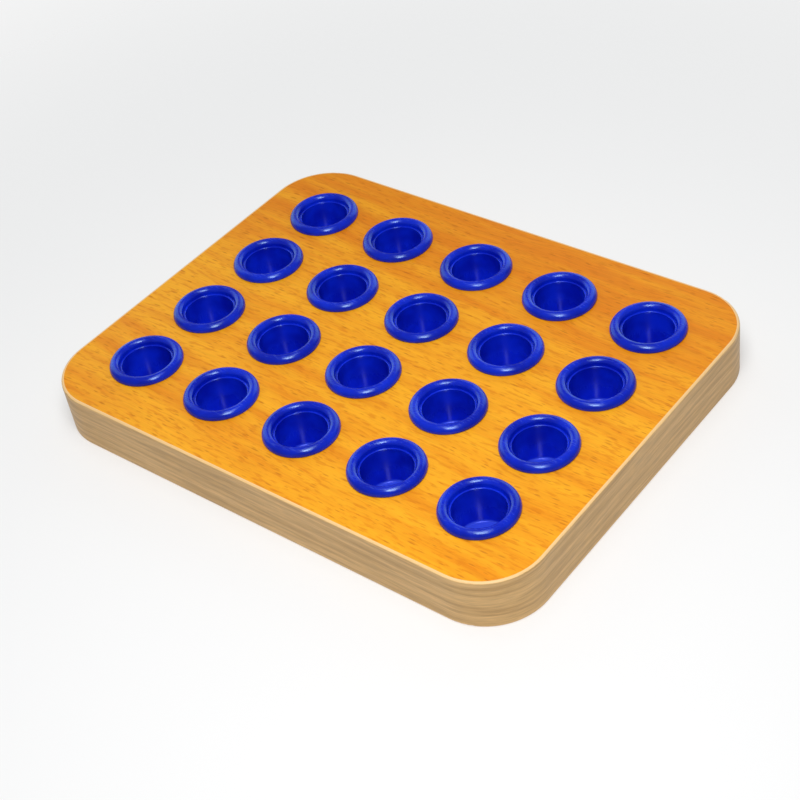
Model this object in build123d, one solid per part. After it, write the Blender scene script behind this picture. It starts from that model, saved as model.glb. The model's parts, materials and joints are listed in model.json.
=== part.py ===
from build123d import *
from math import cos, radians, sin, tan
import os

# Test tube rack: a laminated board with a grid of flanged plastic cups pressed into its top.
# Millimetres, +Z up. The origin is the centre of the underside. X runs along the long side, Y along the short side.

# driving dimensions
board_length = 200.0
board_width = 155.0
board_corner_radius = 21.5
base_board_thickness = 3.0
socket_board_thickness = 15.0
laminate_thickness = 0.7
band_thickness = 1.0
columns = 5
rows = 4
column_pitch = 36.0
row_pitch = 33.0

# edge band
band_edge_round = 0.8
seam_gap = 0.2
seam_y = 35.0

# hole drilled through the socket board for each cup
socket_radius = 10.0

# tube cup
bore_radius = 8.8
bore_depth = 14.0
cup_floor_thickness = 1.2
cup_fit_clearance = 0.05
foot_chamfer = 0.8
floor_round = 0.8
rim_radius = 13.2
rim_outer_round = 2.1
rim_under_round = 0.5
rim_inner_round = 1.6
rim_inner_angle = 76.0
ledge_radius = 9.3
lip_round = 0.25

# derived dimensions
core_length = board_length - 2 * band_thickness
core_width = board_width - 2 * band_thickness
core_corner_radius = board_corner_radius - band_thickness
base_board_top = laminate_thickness + base_board_thickness
socket_board_top = base_board_top + socket_board_thickness
board_top = socket_board_top + laminate_thickness
cup_radius = socket_radius - cup_fit_clearance


def board_outline(length, width, corner_radius, bottom, top):
    """A slab with rounded corners between two heights."""
    outline = RectangleRounded(length, width, corner_radius)
    return extrude(Plane.XY.offset(bottom) * outline, amount=top - bottom)


def core_slab(bottom, top):
    """A slab with the outline that both boards and both laminates share."""
    return board_outline(core_length, core_width, core_corner_radius, bottom, top)


def cup_centres():
    """The centre of each cup in the plane, by name: letters count the rows from the front, numbers the columns."""
    centres = {}
    for row in range(rows):
        for column in range(columns):
            x = (column - (columns - 1) / 2) * column_pitch
            y = (row - (rows - 1) / 2) * row_pitch
            centres[f"{'abcd'[row]}{column + 1}"] = (x, y)
    return centres


def drilled_slab(bottom, top):
    """A slab with a hole through it at each cup's place."""
    places = GridLocations(column_pitch, row_pitch, columns, rows)
    drill = Cylinder(socket_radius, top - bottom, align=(Align.CENTER, Align.CENTER, Align.MIN))
    return core_slab(bottom, top) - [Pos(0, 0, bottom) * place * drill for place in places]


def bottom_laminate():
    """The plain decorative sheet on the underside, which the rack stands on."""
    return core_slab(0, laminate_thickness)


def base_board():
    """The plain wood-based panel that closes the sockets from below."""
    return core_slab(laminate_thickness, base_board_top)


def socket_board():
    """The wood-based panel that the cups are pressed into, drilled right through."""
    return drilled_slab(base_board_top, socket_board_top)


def top_laminate():
    """The decorative sheet on the top face, drilled together with the socket board."""
    return drilled_slab(socket_board_top, board_top)


def edge_band():
    """The plastic strip round the board's side, trimmed round at both edges, with one butt seam."""
    outside = board_outline(board_length, board_width, board_corner_radius, 0, board_top)
    rims = outside.edges().group_by(Axis.Z)
    outside = fillet(rims[0] + rims[-1], band_edge_round)
    seam = Pos(-board_length / 2, seam_y, board_top / 2) * Box(4 * band_thickness, seam_gap, 2 * board_top)
    return outside - core_slab(0, board_top) - seam


def cup_profile():
    """Half of the cup's section in the XZ plane, as one closed outline.

    The rim is a round bead. Its steep inner side drops to a narrow ledge, and the bore starts at the ledge's lip.
    """
    crown_radius = rim_radius - rim_outer_round
    side_z = board_top + rim_under_round
    crown_z = side_z + rim_outer_round
    slope = radians(rim_inner_angle)
    slope_start = (
        crown_radius - rim_inner_round * sin(slope),
        crown_z - rim_inner_round * (1 - cos(slope)),
    )
    ledge_z = slope_start[1] - (slope_start[0] - ledge_radius) * tan(slope)
    floor_z = board_top - bore_depth
    foot_z = floor_z - cup_floor_thickness
    with BuildLine() as outline:
        Polyline(
            (0, floor_z),
            (0, foot_z),
            (cup_radius - foot_chamfer, foot_z),
            (cup_radius, foot_z + foot_chamfer),
            (cup_radius, board_top),
            (rim_radius - rim_under_round, board_top),
        )
        RadiusArc((rim_radius - rim_under_round, board_top), (rim_radius, side_z), -rim_under_round)
        RadiusArc((rim_radius, side_z), (crown_radius, crown_z), -rim_outer_round)
        RadiusArc((crown_radius, crown_z), slope_start, -rim_inner_round)
        Polyline(slope_start, (ledge_radius, ledge_z), (bore_radius + lip_round, ledge_z))
        RadiusArc((bore_radius + lip_round, ledge_z), (bore_radius, ledge_z - lip_round), -lip_round)
        Line((bore_radius, ledge_z - lip_round), (bore_radius, floor_z + floor_round))
        RadiusArc((bore_radius, floor_z + floor_round), (bore_radius - floor_round, floor_z), floor_round)
        Line((bore_radius - floor_round, floor_z), (0, floor_z))
    return Plane.XZ * make_face(outline.line)


def tube_cup(x, y):
    """A closed-bottom cup that hangs in its hole by the rim, which rests on the top face of the board."""
    return Pos(x, y, 0) * revolve(cup_profile(), Axis.Z)


def main():
    pieces = {
        "bottom_laminate": bottom_laminate(),
        "base_board": base_board(),
        "socket_board": socket_board(),
        "top_laminate": top_laminate(),
        "edge_band": edge_band(),
    }
    for name, (x, y) in cup_centres().items():
        pieces[f"tube_cup_{name}"] = tube_cup(x, y)
    os.makedirs("parts", exist_ok=True)
    for name, piece in pieces.items():
        export_step(piece, f"parts/{name}.step")


main()
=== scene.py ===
import json
from math import cos, radians, sin

import bpy
from mathutils import Matrix, Vector


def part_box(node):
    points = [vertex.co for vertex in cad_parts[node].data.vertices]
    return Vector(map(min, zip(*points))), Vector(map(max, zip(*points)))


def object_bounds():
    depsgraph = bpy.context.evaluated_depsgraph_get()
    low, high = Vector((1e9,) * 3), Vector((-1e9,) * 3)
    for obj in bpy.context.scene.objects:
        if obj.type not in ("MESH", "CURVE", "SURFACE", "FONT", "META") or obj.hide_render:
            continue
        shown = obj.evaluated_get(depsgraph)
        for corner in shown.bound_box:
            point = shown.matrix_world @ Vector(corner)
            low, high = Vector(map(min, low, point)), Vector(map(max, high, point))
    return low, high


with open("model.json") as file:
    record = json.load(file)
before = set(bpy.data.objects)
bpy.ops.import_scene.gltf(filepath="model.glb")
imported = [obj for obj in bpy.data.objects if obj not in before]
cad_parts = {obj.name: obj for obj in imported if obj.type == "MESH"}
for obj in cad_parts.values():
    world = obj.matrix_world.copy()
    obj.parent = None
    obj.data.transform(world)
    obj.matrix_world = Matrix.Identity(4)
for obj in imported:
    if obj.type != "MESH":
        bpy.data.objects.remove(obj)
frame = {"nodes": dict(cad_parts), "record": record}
cad_low, cad_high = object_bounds()

# Test tube rack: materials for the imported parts, a pale floor, soft studio light and the camera.
# Blender works in metres. The materials work in millimetres, in the frame of the rack.
# Colours with values up to 255 are as they look on a screen. In the names, a LEVEL is the part of a pattern's
# values that a ramp works on, a SHARE is how strongly a pattern shows, and SHEEN, DIM and TINT are the ramp's
# values at its two ends: a roughness, a factor for the colour, and a shift from orange to yellow.

MM_PER_M = 1000.0
NOISE_MIDDLE = 0.5
NOISE_LEVEL = (0.3, 0.7)
WHITE = (1.0, 1.0, 1.0)

# decorative laminate: its patterns, each a length along the grain and a width across it
STREAK = (75.0, 6.0)
SHADE = (140.0, 26.0)
DASH = (6.0, 1.15)
FIBRE = (16.0, 0.5)
PORE_SPACING = (7.0, 1.4)
WEAR = (40.0, 30.0)

# the grain bends sideways over these lengths by this depth, and runs at a slope to the long side
BEND = (80.0, 45.0)
BEND_DEPTH = 9.0
GRAIN_SLOPE = 0.02
STREAK_SLOPE = 0.07

# each pattern has its own slice of the noise, one step from the next
TOP_SEED = 3.0
BOTTOM_SEED = 47.0
SEED_STEP = 4.0

# the print's colours, and the places on Y between which its tint changes
YELLOW = (249, 174, 32)
ORANGE = (229, 132, 13)
DASH_COLOUR = (214, 116, 4)
PORE_COLOUR = (178, 92, 6)
STREAK_WEIGHT = 0.8
SHADE_WEIGHT = 0.2
WARMTH_LEVEL = (0.25, 0.75)
BACK_PLACE = (65.0, 0.0)
BACK_TINT = (-0.13, 0.11)
FRONT_PLACE = (-10.0, -45.0)
FRONT_TINT = (0.0, -0.06)
DASH_LEVEL = (0.5, 0.66)
DASH_SHARE = 0.45
FIBRE_LEVEL = (0.25, 0.75)
FIBRE_DIM = (0.94, 1.05)

# pores: the range of their sizes (a larger number is a smaller pore), their edges and how many are faint
PORE_REACH = (1.7, 0.9)
PORE_EDGE = (0.3, 0.08)
PORE_LUCK_LEVEL = (0.25, 1.0)
PORE_SHARE = 0.5
PORE_DULLNESS = 0.1

# the laminate's surface
LAMINATE_SHEEN = (0.36, 0.46)
LAMINATE_SPECULAR = 0.22
FIBRE_HEIGHT = 0.2
DASH_HEIGHT = 0.3
LAMINATE_RELIEF = 0.015

# edge band: a printed side, and a bare strip along both edges that starts with a slight wobble
BAND_STREAK = (34.0, 1.5)
BAND_FIBRE = (5.0, 0.35)
BAND_DARK = (188, 148, 90)
BAND_PALE = (218, 177, 117)
BAND_BARE = (246, 204, 142)
BAND_FIBRE_DIM = (0.86, 1.1)
BAND_SHEEN_LEVEL = (0.2, 0.8)
BAND_SHEEN = (0.42, 0.56)
BAND_RELIEF = 0.02
TRIM_DEPTH = 0.4
TRIM_BLEND = 0.2
TRIM_WOBBLE = 0.15
TRIM_WOBBLE_LENGTH = 6.0

# tube cups: their colours, and painted light and shade: a factor that paints them darker on the crown and
# brighter from there down to this depth below the board's top
CUP_DEEP = (4, 22, 166)
CUP_LIGHT = (8, 38, 198)
CUP_PAINTED_SHADING = (1.15, 0.88)
CUP_PAINTED_SHADING_DEPTH = 3.0
MOULDING_MARK = 9.0
CUP_RELIEF = 0.04

# scuffs all over, and a rubbed crown
SCUFF = (3.0, 0.5)
SCUFF_LEVEL = (0.4, 0.75)
CUP_SHEEN = (0.16, 0.24)
CUP_RUBBED = (70, 96, 214)
RUBBED_DEPTH = 0.5
RUBBED_LEVEL = (0.5, 0.7)
RUBBED_SHARE = 0.15
RUBBED_DULLNESS = 0.12

# the cup's floor, a paler colour painted on it as painted light for the light that it reflects, and the
# heights above it between which this painted light comes in
CUP_FLOOR_THICKNESS = 1.2
PAINTED_FLOOR_LIGHT = (44, 66, 196)
FLOOR_LIGHT_HEIGHTS = (1.0, 0.2)

# the bore: how deep below the board's top its own finish is complete, and the height above the floor and the
# depth below the board's top between which it grows duller
BORE_START = 0.5
BORE_MARGINS = (2.0, 3.0)
BORE_DULLNESS = 0.2
CUP_SPECULAR = 0.5
BORE_SPECULAR_LOSS = 0.42
CUP_SHINE = (200, 236, 255)
BORE_SHINE = (140, 152, 255)

# raw board
FLAKE = (1.2, 0.6)
BOARD_DARK = (150, 116, 78)
BOARD_PALE = (190, 156, 112)
BOARD_ROUGHNESS = 0.85
BOARD_RELIEF = 0.08

# camera: its angles round the rack, its roll, its distance along the line of sight and the point it looks at
CAMERA_AZIMUTH = 44.02
CAMERA_ELEVATION = 40.72
CAMERA_ROLL = -9.81
CAMERA_DISTANCE = 0.5455
CAMERA_AIM = (0.0194, -0.0212)
LENS_MM = 74.0
SENSOR_MM = 36.0

# stage, in metres
FLOOR_GAP = 0.0001
FLOOR_RADIUS = 1.5
FLOOR_FADE = (0.14, 0.5)
FLOOR_TONE = 0.46
FLOOR_GLOW = 0.48
FLOOR_ROUGHNESS = 0.7
FLOOR_SPECULAR = 0.2
BACKDROP_TONE = 0.93
SURROUND_GLOW = 0.25
BACK_AZIMUTHS = {"left": 259.0, "right": 189.0}
COOL = (0.85, 0.95, 1.0)
CYAN = (0.35, 0.8, 1.0)


class Number:
    """A number in a node tree, so that a formula of nodes is written like any other formula."""

    def __init__(self, socket):
        self.socket = socket
        self.tree = socket.id_data

    def maths(self, operation, *others):
        node = self.tree.nodes.new("ShaderNodeMath")
        node.operation = operation
        for place, value in zip(node.inputs, (self, *others)):
            plug(value, place)
        return Number(node.outputs[0])

    def __add__(self, other):
        return self.maths("ADD", other)

    def __sub__(self, other):
        return self.maths("SUBTRACT", other)

    def __mul__(self, other):
        return self.maths("MULTIPLY", other)

    def __truediv__(self, other):
        return self.maths("DIVIDE", other)

    def __neg__(self):
        return self * -1.0

    def __rsub__(self, other):
        return -self + other


def plug(value, place):
    """Gives a node's input a value: the output of another node, or a plain value."""
    if isinstance(value, Number):
        value = value.socket
    if isinstance(value, bpy.types.NodeSocket):
        place.id_data.links.new(value, place)
    else:
        place.default_value = value


def vector(x, y, z):
    """A vector of three values, the first of which is a Number."""
    node = x.tree.nodes.new("ShaderNodeCombineXYZ")
    for place, value in zip(node.inputs, (x, y, z)):
        plug(value, place)
    return node.outputs[0]


def noise(x, y, z, detail=2.0):
    """Smooth noise round 0.5 at a point."""
    node = x.tree.nodes.new("ShaderNodeTexNoise")
    node.inputs["Scale"].default_value = 1.0
    node.inputs["Detail"].default_value = detail
    plug(vector(x, y, z), node.inputs["Vector"])
    return Number(node.outputs["Fac"])


def cells(x, y):
    """Scattered points, one in each unit square: the distance to the nearest, and its two random numbers."""
    node = x.tree.nodes.new("ShaderNodeTexVoronoi")
    node.voronoi_dimensions = "2D"
    node.inputs["Scale"].default_value = 1.0
    plug(vector(x, y, 0.0), node.inputs["Vector"])
    split = x.tree.nodes.new("ShaderNodeSeparateColor")
    plug(node.outputs["Color"], split.inputs[0])
    return Number(node.outputs["Distance"]), Number(split.outputs[0]), Number(split.outputs[1])


def ramp(value, start, end, low=0.0, high=1.0):
    """Goes smoothly from low, where the value is start, to high, where it is end."""
    node = value.tree.nodes.new("ShaderNodeMapRange")
    node.interpolation_type = "SMOOTHSTEP"
    for name, setting in (("From Min", start), ("From Max", end), ("To Min", low), ("To Max", high)):
        plug(setting, node.inputs[name])
    plug(value, node.inputs["Value"])
    return Number(node.outputs["Result"])


def linear(share):
    """The light that a screen gives for a share of its full signal, by the sRGB standard."""
    return share / 12.92 if share <= 0.04045 else ((share + 0.055) / 1.055) ** 2.4


def tone(colour):
    """A colour as it looks on a screen, from 0 to 255, as the linear colour that shaders use."""
    return (*[linear(value / 255) for value in colour], 1.0)


def mix(share, first, second):
    """A colour between two colours."""
    node = share.tree.nodes.new("ShaderNodeMix")
    node.data_type = "RGBA"
    places = {place.identifier: place for place in node.inputs}
    plug(share, places["Factor_Float"])
    plug(first, places["A_Color"])
    plug(second, places["B_Color"])
    return next(output for output in node.outputs if output.identifier == "Result_Color")


def dim(colour, share):
    """A colour made darker or lighter."""
    node = share.tree.nodes.new("ShaderNodeVectorMath")
    node.operation = "SCALE"
    plug(colour, node.inputs[0])
    plug(share, node.inputs["Scale"])
    return node.outputs[0]


def new_material(name):
    """An empty material: its principled shader and the point being shaded, in mm."""
    material = bpy.data.materials.new(name)
    material.use_nodes = True
    nodes = material.node_tree.nodes
    place = nodes.new("ShaderNodeTexCoord")
    split = nodes.new("ShaderNodeSeparateXYZ")
    plug(place.outputs["Object"], split.inputs[0])
    point = [Number(output) * MM_PER_M for output in split.outputs]
    return material, nodes["Principled BSDF"], point


def relief(shader, height, depth_mm):
    """Small surface relief: height from 0 to 1 stands for depth_mm."""
    bump = height.tree.nodes.new("ShaderNodeBump")
    bump.inputs["Strength"].default_value = 1.0
    bump.inputs["Distance"].default_value = depth_mm / MM_PER_M
    plug(height, bump.inputs["Height"])
    plug(bump.outputs[0], shader.inputs["Normal"])


def pores(along, across, seed):
    """Short pointed lines along the grain, of different lengths and strengths."""
    distance, luck, size = cells(along / PORE_SPACING[0] + seed, across / PORE_SPACING[1] + seed)
    reach = distance * ramp(size, 0.0, 1.0, *PORE_REACH)
    return ramp(reach, *PORE_EDGE) * ramp(luck, *PORE_LUCK_LEVEL)


def laminate(name, seed):
    """Satin sheet with a beech print: orange and yellow streaks, short dashes, fibres and fine pores.

    The print is yellowest along the middle of the board and most orange at the back.
    """
    material, shader, (x, y, _) = new_material(name)
    bend = noise(x / BEND[0], y / BEND[1], seed) - NOISE_MIDDLE
    across = y + x * GRAIN_SLOPE + bend * BEND_DEPTH
    slanted = across + x * STREAK_SLOPE
    streak = noise(x / STREAK[0], slanted / STREAK[1], seed, detail=3.0)
    shade = noise(x / SHADE[0], slanted / SHADE[1], seed + SEED_STEP)
    dash = ramp(noise(x / DASH[0], across / DASH[1], seed + 2 * SEED_STEP), *DASH_LEVEL)
    fibre = noise(x / FIBRE[0], across / FIBRE[1], seed + 3 * SEED_STEP)
    wear = noise(x / WEAR[0], y / WEAR[1], seed + 4 * SEED_STEP, detail=4.0)
    pore = pores(x, across, seed)
    tint = ramp(y, *BACK_PLACE, *BACK_TINT) + ramp(y, *FRONT_PLACE, *FRONT_TINT)
    warmth = ramp(streak * STREAK_WEIGHT + shade * SHADE_WEIGHT + tint, *WARMTH_LEVEL)
    colour = mix(warmth, tone(ORANGE), tone(YELLOW))
    colour = mix(dash * DASH_SHARE, colour, tone(DASH_COLOUR))
    colour = mix(pore * PORE_SHARE, colour, tone(PORE_COLOUR))
    plug(dim(colour, ramp(fibre, *FIBRE_LEVEL, *FIBRE_DIM)), shader.inputs["Base Color"])
    roughness = ramp(wear, *NOISE_LEVEL, *LAMINATE_SHEEN) + pore * PORE_DULLNESS
    plug(roughness, shader.inputs["Roughness"])
    shader.inputs["Specular IOR Level"].default_value = LAMINATE_SPECULAR
    relief(shader, fibre * FIBRE_HEIGHT - dash * DASH_HEIGHT - pore, LAMINATE_RELIEF)
    return material


def edging(name):
    """Matte plastic strip with a pale printed grain, and bare cream plastic where its edges are trimmed."""
    material, shader, (x, y, z) = new_material(name)
    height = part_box("edge_band")[1].z * MM_PER_M
    streak = noise(x / BAND_STREAK[0], y / BAND_STREAK[0], z / BAND_STREAK[1], detail=3.0)
    fibre = noise(x / BAND_FIBRE[0], y / BAND_FIBRE[0], z / BAND_FIBRE[1], detail=3.0)
    colour = mix(ramp(streak, *NOISE_LEVEL), tone(BAND_DARK), tone(BAND_PALE))
    colour = dim(colour, ramp(fibre, *FIBRE_LEVEL, *BAND_FIBRE_DIM))
    wobble = noise(x / TRIM_WOBBLE_LENGTH, y / TRIM_WOBBLE_LENGTH, z) * TRIM_WOBBLE
    top_trim = ramp(z + wobble, height - TRIM_DEPTH, height - TRIM_DEPTH + TRIM_BLEND)
    bottom_trim = ramp(z - wobble, TRIM_DEPTH, TRIM_DEPTH - TRIM_BLEND)
    plug(mix(top_trim + bottom_trim, colour, tone(BAND_BARE)), shader.inputs["Base Color"])
    plug(ramp(fibre, *BAND_SHEEN_LEVEL, *BAND_SHEEN), shader.inputs["Roughness"])
    relief(shader, fibre, BAND_RELIEF)
    return material


def cup_plastic(name):
    """Glossy royal blue plastic: rubbed on the crown and duller in the upper bore. Painted light and shade
    make it darker on the crown, brighter in the bore and paler on the floor.
    """
    material, shader, (x, y, z) = new_material(name)
    board_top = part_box("top_laminate")[1].z * MM_PER_M
    foot, crown = [corner.z * MM_PER_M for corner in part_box("tube_cup_a1")]
    floor = foot + CUP_FLOOR_THICKNESS
    flow = noise(x / MOULDING_MARK, y / MOULDING_MARK, z / MOULDING_MARK)
    scuffs = noise(x / SCUFF[0], y / SCUFF[1], z / SCUFF[0], detail=4.0)
    rubbed = ramp(z, crown - RUBBED_DEPTH, crown) * ramp(scuffs, *RUBBED_LEVEL)
    colour = mix(ramp(flow, *NOISE_LEVEL), tone(CUP_DEEP), tone(CUP_LIGHT))
    colour = mix(rubbed * RUBBED_SHARE, colour, tone(CUP_RUBBED))
    # painted light and shade: the cups are painted darker on the crown and brighter down in the bore
    colour = dim(colour, ramp(z, board_top - CUP_PAINTED_SHADING_DEPTH, crown, *CUP_PAINTED_SHADING))
    # painted light: the floor is painted paler, standing in for the light that it reflects
    floor_light = ramp(z, floor + FLOOR_LIGHT_HEIGHTS[0], floor + FLOOR_LIGHT_HEIGHTS[1])
    plug(mix(floor_light, colour, tone(PAINTED_FLOOR_LIGHT)), shader.inputs["Base Color"])
    inside = ramp(z, board_top, board_top - BORE_START)
    upper_bore = inside * ramp(z, floor + BORE_MARGINS[0], board_top - BORE_MARGINS[1])
    gloss = ramp(scuffs, *SCUFF_LEVEL, *CUP_SHEEN)
    plug(gloss + rubbed * RUBBED_DULLNESS + upper_bore * BORE_DULLNESS, shader.inputs["Roughness"])
    plug(CUP_SPECULAR - upper_bore * BORE_SPECULAR_LOSS, shader.inputs["Specular IOR Level"])
    plug(mix(inside, tone(CUP_SHINE), tone(BORE_SHINE)), shader.inputs["Specular Tint"])
    relief(shader, flow, CUP_RELIEF)
    return material


def core_panel(name):
    """Raw medium density fibreboard."""
    material, shader, (x, y, z) = new_material(name)
    flakes = noise(x / FLAKE[0], y / FLAKE[0], z / FLAKE[1], detail=5.0)
    colour = mix(ramp(flakes, *NOISE_LEVEL), tone(BOARD_DARK), tone(BOARD_PALE))
    plug(colour, shader.inputs["Base Color"])
    shader.inputs["Roughness"].default_value = BOARD_ROUGHNESS
    relief(shader, flakes, BOARD_RELIEF)
    return material


def dress(material, nodes):
    """Gives CAD nodes a material."""
    for node in nodes:
        slots = frame["nodes"][node].data.materials
        slots.clear()
        slots.append(material)


def nodes_of(slot):
    """The CAD nodes that the record gives one material slot."""
    return [part["node"] for part in frame["record"]["subparts"] if part["material_slot"] == slot]


def dress_all():
    dress(laminate("laminate_top", TOP_SEED), ["top_laminate"])
    dress(laminate("laminate_bottom", BOTTOM_SEED), ["bottom_laminate"])
    dress(edging("edging"), nodes_of("edging"))
    dress(core_panel("core"), nodes_of("core"))
    dress(cup_plastic("cup"), nodes_of("cup"))


def around(azimuth, elevation):
    """The direction from the rack to a viewer: azimuth 0 is in front, on the -Y side, and 90 is at +X."""
    a, e = radians(azimuth), radians(elevation)
    return Vector((sin(a) * cos(e), -cos(a) * cos(e), sin(e)))


def even_grey(level):
    return (level, level, level, 1.0)


def add_floor():
    """A round pale floor under the rack. It glows a little, which keeps it pale where the light falls off.

    It fades into the background and can't be seen from below.
    """
    bpy.ops.mesh.primitive_circle_add(
        vertices=96,
        radius=FLOOR_RADIUS,
        fill_type="NGON",
        location=(0, 0, cad_low.z - FLOOR_GAP),
    )
    floor = bpy.context.object
    floor.name = "floor"
    material, shader, (x, y, _) = new_material("floor")
    shader.inputs["Base Color"].default_value = even_grey(FLOOR_TONE)
    shader.inputs["Emission Color"].default_value = even_grey(1.0)
    shader.inputs["Emission Strength"].default_value = FLOOR_GLOW
    shader.inputs["Roughness"].default_value = FLOOR_ROUGHNESS
    shader.inputs["Specular IOR Level"].default_value = FLOOR_SPECULAR
    distance = (x * x + y * y).maths("SQRT") / MM_PER_M
    nodes = material.node_tree.nodes
    from_above = 1 - Number(nodes.new("ShaderNodeNewGeometry").outputs["Backfacing"])
    cover = nodes.new("ShaderNodeMixShader")
    plug(ramp(distance, FLOOR_FADE[1], FLOOR_FADE[0]) * from_above, cover.inputs[0])
    plug(nodes.new("ShaderNodeBsdfTransparent").outputs[0], cover.inputs[1])
    plug(shader.outputs[0], cover.inputs[2])
    plug(cover.outputs[0], nodes["Material Output"].inputs["Surface"])
    floor.data.materials.append(material)


def add_light(name, azimuth, elevation, distance, size, power, colour=WHITE):
    """A soft light of a given width and height that faces the rack and can't be seen itself."""
    data = bpy.data.lights.new(name, "AREA")
    data.shape = "RECTANGLE"
    data.size, data.size_y = size
    data.energy = power
    data.color = colour
    lamp = bpy.data.objects.new(name, data)
    direction = around(azimuth, elevation)
    lamp.location = direction * distance
    lamp.rotation_mode = "QUATERNION"
    lamp.rotation_quaternion = direction.to_track_quat("Z", "Y")
    lamp.visible_camera = False
    bpy.context.scene.collection.objects.link(lamp)
    return lamp


def collection_of(name, nodes):
    """A collection of CAD nodes, for a light to work on."""
    collection = bpy.data.collections.new(name)
    for node in nodes:
        collection.objects.link(frame["nodes"][node])
    return collection


def shine_only_on(lamp, nodes, blockers=None):
    """Makes a light shine on some nodes only, and pass through everything but the blockers."""
    lamp.light_linking.receiver_collection = collection_of(f"lit_by_{lamp.name}", nodes)
    lamp.light_linking.blocker_collection = collection_of(f"blocks_{lamp.name}", blockers or nodes)


def add_main_lights():
    """A small key light on the camera's side, a long light overhead, and two cool lights from behind."""
    add_light("key", azimuth=42.0, elevation=61.0, distance=0.5, size=(0.13, 0.24), power=1.2)
    add_light("overhead", azimuth=50.0, elevation=70.0, distance=0.5, size=(0.16, 0.6), power=0.85)
    for side, azimuth in BACK_AZIMUTHS.items():
        add_light(f"back_{side}", azimuth, 22.0, distance=0.9, size=(0.8, 0.8), power=1.2, colour=COOL)


def add_cup_lights():
    """Lights that show only as reflections in the cups.

    The sheen lights tint the inner sides of the rims. The streak light is below the camera and passes through
    the core, so that each bore mirrors it as an upright line.
    """
    cups = nodes_of("cup")
    lamps = [
        add_light(f"sheen_{side}", azimuth, 20.0, distance=0.9, size=(0.5, 0.7), power=0.9, colour=CYAN)
        for side, azimuth in BACK_AZIMUTHS.items()
    ]
    for lamp in lamps:
        shine_only_on(lamp, cups)
    streak = add_light("streak", azimuth=43.9, elevation=-38.8, distance=0.568, size=(0.06, 0.4), power=0.26)
    shine_only_on(streak, cups, blockers=["top_laminate"])
    for lamp in (*lamps, streak):
        lamp.visible_diffuse = False


def add_underside_light():
    """A light for views from below, where the floor can't be seen."""
    lamp = add_light("underside", azimuth=0.0, elevation=-89.0, distance=0.6, size=(0.4, 0.4), power=1.6)
    shine_only_on(lamp, ["bottom_laminate"])


def add_world():
    """A dim even surround for the light, and a pale background for the camera."""
    world = bpy.data.worlds.new("studio")
    world.use_nodes = True
    bpy.context.scene.world = world
    nodes = world.node_tree.nodes
    surround = nodes["Background"]
    surround.inputs["Color"].default_value = even_grey(1.0)
    surround.inputs["Strength"].default_value = SURROUND_GLOW
    backdrop = nodes.new("ShaderNodeBackground")
    backdrop.inputs["Color"].default_value = even_grey(BACKDROP_TONE)
    choice = nodes.new("ShaderNodeMixShader")
    plug(nodes.new("ShaderNodeLightPath").outputs["Is Camera Ray"], choice.inputs[0])
    plug(surround.outputs[0], choice.inputs[1])
    plug(backdrop.outputs[0], choice.inputs[2])
    plug(choice.outputs[0], nodes["World Output"].inputs["Surface"])


def add_camera():
    """A camera at the product picture's viewing angle, which sees the whole rack."""
    data = bpy.data.cameras.new("camera")
    data.lens = LENS_MM
    data.sensor_width = SENSOR_MM
    camera = bpy.data.objects.new("camera", data)
    back = around(CAMERA_AZIMUTH, CAMERA_ELEVATION)
    aim = Vector((*CAMERA_AIM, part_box("top_laminate")[1].z))
    level = back.to_track_quat("Z", "Y").to_matrix().to_4x4()
    turn = level @ Matrix.Rotation(radians(CAMERA_ROLL), 4, "Z")
    camera.matrix_world = Matrix.Translation(aim + back * CAMERA_DISTANCE) @ turn
    bpy.context.scene.collection.objects.link(camera)
    bpy.context.scene.camera = camera


def set_stage():
    """The floor, the background, the camera and the lights."""
    add_floor()
    add_world()
    add_camera()
    add_main_lights()
    add_cup_lights()
    add_underside_light()
    bpy.context.scene.view_settings.view_transform = "Standard"


dress_all()
set_stage()
